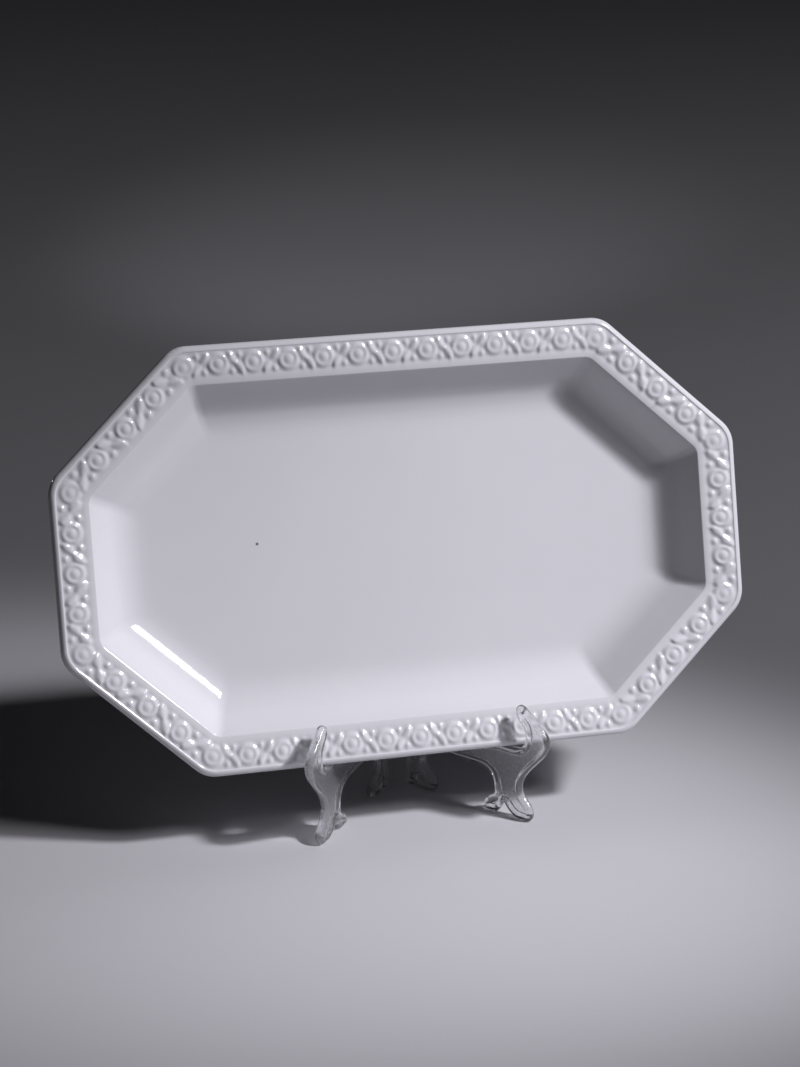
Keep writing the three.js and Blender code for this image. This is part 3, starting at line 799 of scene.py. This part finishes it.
def make_pin(name, height):
    """A headed hinge pin with a domed head and a chamfered tip."""
    shank = 2 * FORK_REACH + SEAT_CLEARANCE
    dome = arc_points((0, 0), 1, 0, math.pi / 2, 8)
    head = np.stack([PIN_HEAD_RADIUS - PIN_HEAD_ROUND + PIN_HEAD_ROUND * dome[:, 0],
                     shank + PIN_HEAD_HEIGHT - PIN_HEAD_ROUND + PIN_HEAD_ROUND * dome[:, 1]], 1)
    profile = np.concatenate([
        [[0, 0], [PIN_RADIUS - PIN_TIP_CHAMFER, 0], [PIN_RADIUS, PIN_TIP_CHAMFER]],
        [[PIN_RADIUS, shank], [PIN_HEAD_RADIUS, shank]],
        head,
        [[0, shank + PIN_HEAD_HEIGHT]],
    ])
    sides = PIN_SIDES
    angles = 2 * math.pi * np.arange(sides) / sides
    bottom = height - FORK_REACH
    vertices = [[0, HINGE_Y, bottom], [0, HINGE_Y, bottom + profile[-1, 1]]]
    for radius, rise in profile[1:-1]:
        vertices.extend([radius * math.cos(turn), HINGE_Y + radius * math.sin(turn), bottom + rise]
                        for turn in angles)
    faces = []
    rings = len(profile) - 2
    for spot in range(sides):
        following = (spot + 1) % sides
        faces.append([0, 2 + following, 2 + spot])
        for ring in range(rings - 1):
            low = 2 + ring * sides
            high = low + sides
            faces.append([low + spot, low + following, high + following, high + spot])
        last = 2 + (rings - 1) * sides
        faces.append([1, last + spot, last + following])
    return add_mesh(name, vertices, faces)


# Materials

GLAZE_SHADES = ((0.68, 0.676, 0.705), (0.70, 0.696, 0.722))
POOLED_GLAZE = (0.56, 0.555, 0.59)
POOLED_SHARE = 0.3
SPECK_COLOUR = (0.13, 0.12, 0.11)
BARE_BODY = (0.66, 0.645, 0.62)
BARE_ROUGHNESS = 0.75
GLAZE_GLOSS = (0.07, 0.11)
GLAZE_IOR = 1.52
STYRENE_SHADES = ((0.90, 0.905, 0.925), (0.94, 0.945, 0.96))
BORDER_GLOSS = (0.015, 0.05)
WEB_GLOSS = (0.17, 0.3)
STYRENE_CLEARNESS = 0.93
STYRENE_IOR = 1.55
PAPER_SHADES = ((0.544, 0.54, 0.561), (0.561, 0.557, 0.578))
PAPER_ROUGHNESS = 0.8


class Surface:
    """A material with one shader, and the kinds of node that feed it."""

    def __init__(self, name):
        self.material = bpy.data.materials.new(name)
        self.material.use_nodes = True
        self.nodes = self.material.node_tree.nodes
        self.links = self.material.node_tree.links
        self.sockets = self.nodes["Principled BSDF"].inputs
        self.place = self.nodes.new("ShaderNodeTexCoord").outputs["Object"]

    def feed(self, socket, output):
        self.links.new(output, self.sockets[socket])

    def attribute(self, name):
        reader = self.nodes.new("ShaderNodeAttribute")
        reader.attribute_name = name
        return reader.outputs["Fac"]

    def noise(self, scale, detail):
        texture = self.nodes.new("ShaderNodeTexNoise")
        texture.inputs["Scale"].default_value = scale
        texture.inputs["Detail"].default_value = detail
        self.links.new(self.place, texture.inputs["Vector"])
        return texture.outputs["Fac"]

    def distance_from(self, point):
        measure = self.nodes.new("ShaderNodeVectorMath")
        measure.operation = "DISTANCE"
        self.links.new(self.place, measure.inputs[0])
        measure.inputs[1].default_value = point
        return measure.outputs["Value"]

    def mapped(self, value, low, high, from_low=0.3, from_high=0.7):
        ranged = self.nodes.new("ShaderNodeMapRange")
        ranged.inputs["From Min"].default_value = from_low
        ranged.inputs["From Max"].default_value = from_high
        ranged.inputs["To Min"].default_value = low
        ranged.inputs["To Max"].default_value = high
        self.links.new(value, ranged.inputs["Value"])
        return ranged.outputs["Result"]

    def mixed(self, factor, first, second):
        """A colour between two, each a colour or another node's output."""
        mix = self.nodes.new("ShaderNodeMix")
        mix.data_type = "RGBA"
        self.links.new(factor, mix.inputs["Factor"])
        for socket, colour in ((mix.inputs[6], first), (mix.inputs[7], second)):
            if isinstance(colour, tuple):
                socket.default_value = (*colour, 1.0)
            else:
                self.links.new(colour, socket)
        return mix.outputs[2]

    def blended(self, factor, first, second):
        """A number between two, each a number or another node's output."""
        mix = self.nodes.new("ShaderNodeMix")
        self.links.new(factor, mix.inputs["Factor"])
        for socket, value in ((mix.inputs[2], first), (mix.inputs[3], second)):
            if isinstance(value, float):
                socket.default_value = value
            else:
                self.links.new(value, socket)
        return mix.outputs[0]

    def bumped(self, height, strength, distance, under=None):
        bump = self.nodes.new("ShaderNodeBump")
        bump.inputs["Strength"].default_value = strength
        bump.inputs["Distance"].default_value = distance
        self.links.new(height, bump.inputs["Height"])
        if under is not None:
            self.links.new(under, bump.inputs["Normal"])
        return bump.outputs["Normal"]


def porcelain_material():
    """White hard-paste porcelain under a clear glaze, bare on the face of its foot."""
    surface = Surface("glazed_porcelain")
    cloud = surface.mapped(surface.noise(scale=14.0, detail=3.0), 0.0, 1.0)
    glaze = surface.mixed(cloud, *GLAZE_SHADES)
    pooled = surface.mapped(surface.attribute("pooled_glaze"), 0.0, POOLED_SHARE, 0.0, 1.0)
    glaze = surface.mixed(pooled, glaze, POOLED_GLAZE)
    speck = surface.distance_from([length / METRE for length in leaning(*SPECK_PLACE, WELL_DEPTH)])
    on_speck = surface.mapped(speck, 1.0, 0.0, SPECK_RADIUS / METRE, SPECK_FADE / METRE)
    glaze = surface.mixed(on_speck, glaze, SPECK_COLOUR)
    bare = surface.attribute("bare_foot")
    surface.feed("Base Color", surface.mixed(bare, glaze, BARE_BODY))
    gloss = surface.mapped(surface.noise(scale=160.0, detail=4.0), *GLAZE_GLOSS)
    surface.feed("Roughness", surface.blended(bare, gloss, BARE_ROUGHNESS))
    surface.sockets["IOR"].default_value = GLAZE_IOR
    waves = surface.bumped(surface.noise(scale=45.0, detail=1.0), strength=0.25, distance=0.0004)
    peel = surface.bumped(surface.noise(scale=1400.0, detail=2.0), strength=0.03, distance=0.0002,
                          under=waves)
    stipple = surface.blended(pooled, 0.0, surface.noise(scale=900.0, detail=1.0))
    surface.feed("Normal", surface.bumped(stipple, strength=0.5, distance=0.0006, under=peel))
    return surface.material


def clear_material():
    """Clear moulded styrene: polished borders and a finely grained web."""
    surface = Surface("clear_moulding")
    tint = surface.mapped(surface.noise(scale=60.0, detail=2.0), 0.0, 1.0)
    surface.feed("Base Color", surface.mixed(tint, *STYRENE_SHADES))
    border = surface.mapped(surface.noise(scale=700.0, detail=4.0), *BORDER_GLOSS)
    web = surface.mapped(surface.noise(scale=1500.0, detail=4.0), *WEB_GLOSS)
    surface.feed("Roughness", surface.blended(surface.attribute("web"), border, web))
    surface.sockets["Transmission Weight"].default_value = STYRENE_CLEARNESS
    surface.sockets["IOR"].default_value = STYRENE_IOR
    flow = surface.bumped(surface.noise(scale=180.0, detail=2.0), strength=0.1, distance=0.0003)
    surface.feed("Normal", flow)
    return surface.material


def paper_material():
    """Matt studio paper, a little clouded."""
    surface = Surface("studio_paper")
    cloud = surface.mapped(surface.noise(scale=3.0, detail=3.0), 0.0, 1.0)
    surface.feed("Base Color", surface.mixed(cloud, *PAPER_SHADES))
    surface.sockets["Roughness"].default_value = PAPER_ROUGHNESS
    grain = surface.bumped(surface.noise(scale=900.0, detail=3.0), strength=0.1, distance=0.0003)
    surface.feed("Normal", grain)
    return surface.material


# Pieces

PORCELAIN = porcelain_material()
CLEAR = clear_material()


def dress(piece, material, body, node):
    """Give a piece its material, and put it in place of the solid's node on that node's body."""
    piece.data.materials.clear()
    piece.data.materials.append(material)
    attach(piece, body)
    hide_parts(node)


forks = []
tongues = []
for height in HINGE_HEIGHTS.values():
    forks.append((height - FORK_REACH, KNUCKLE_HEIGHT))
    forks.append((height + FORK_REACH - KNUCKLE_HEIGHT, KNUCKLE_HEIGHT))
    tongues.append((height - TONGUE_HEIGHT / 2, TONGUE_HEIGHT))

dress(make_platter(), PORCELAIN, "dish", "platter")
left = make_frame("clear_left_frame", 1, forks)
dress(left, CLEAR, "stand", "left_frame")
right = make_frame("clear_right_frame", -1, tongues)
dress(right, CLEAR, "folding_frame", "right_frame")
for node, height in HINGE_HEIGHTS.items():
    dress(make_pin("clear_" + node, height), CLEAR, "stand", node)
for node, piece in frame["nodes"].items():
    piece.data.materials.clear()
    piece.data.materials.append(PORCELAIN if node == "platter" else CLEAR)

# Studio

FLOOR_SIDE = 9000.0
FLOOR_FRONT = -6000.0
FLOOR_BACK = 12000.0
LAMP_COLOUR = (1.0, 0.985, 1.05)
WORLD_COLOUR = (0.006, 0.0058, 0.0063, 1.0)
SENSOR = 36.0
FOCAL_PIXELS = 2592
PHOTO_HEIGHT = 1067
CAMERA_ASIDE = -0.2668
CAMERA_BEFORE_RIM = 1.0944
CAMERA_HEIGHT = 0.5228
CAMERA_TURNS = ((-13.235, "Z"), (71.604, "X"), (-0.751, "Z"))  # heading, pitch and roll, in degrees

floor = add_mesh("studio_floor",
                 [[-FLOOR_SIDE, FLOOR_FRONT, 0], [FLOOR_SIDE, FLOOR_FRONT, 0],
                  [FLOOR_SIDE, FLOOR_BACK, 0], [-FLOOR_SIDE, FLOOR_BACK, 0]],
                 [[0, 1, 2, 3]])
floor.data.materials.append(paper_material())


def add_light(name, kind, place, towards, power):
    """A lamp of one kind, in metres and watts."""
    data = bpy.data.lights.new(name, kind)
    data.energy = power
    data.color = LAMP_COLOUR
    light = bpy.data.objects.new(name, data)
    light.location = place
    light.rotation_euler = (Vector(towards) - Vector(place)).to_track_quat("-Z", "Y").to_euler()
    bpy.context.scene.collection.objects.link(light)
    return data


def add_spot(name, place, towards, power, cone, softness):
    """A spot lamp that fades from the middle of its cone, in degrees, to its edge."""
    lamp = add_light(name, "SPOT", place, towards, power)
    lamp.spot_size = math.radians(cone)
    lamp.spot_blend = 1.0
    lamp.shadow_soft_size = softness


add_spot("key", place=(0.755, -0.48, 0.885), towards=(-0.058, -0.03, 0.02),
         power=54.5, cone=29.6, softness=0.065)
spill = add_light("spill", "AREA", place=(1.559, -1.299, 1.731), towards=(0.0, 0.0, 0.1),
                  power=19.0)
spill.shape = "DISK"
spill.size = 0.5
add_spot("ground", place=(-0.197, 0.15, 0.9), towards=(0.279, 1.269, 0.0),
         power=7.9, cone=28.0, softness=0.03)
add_spot("rear", place=(-0.8, 1.3, 0.27), towards=(0.0, 0.05, 0.16),
         power=5.4, cone=19.0, softness=0.04)

world = bpy.data.worlds.new("studio")
world.use_nodes = True
world.node_tree.nodes["Background"].inputs["Color"].default_value = WORLD_COLOUR
bpy.context.scene.world = world
bpy.context.scene.view_settings.view_transform = "Standard"

camera_data = bpy.data.cameras.new("camera")
camera_data.sensor_width = SENSOR
camera_data.lens = SENSOR * FOCAL_PIXELS / PHOTO_HEIGHT
camera = bpy.data.objects.new("camera", camera_data)
camera.location = (CAMERA_ASIDE, RIM_Y / METRE - CAMERA_BEFORE_RIM, CAMERA_HEIGHT)
heading, pitch, roll = (Matrix.Rotation(math.radians(angle), 3, axis)
                        for angle, axis in CAMERA_TURNS)
camera.rotation_euler = (heading @ pitch @ roll).to_euler()
bpy.context.scene.collection.objects.link(camera)
bpy.context.scene.camera = camera
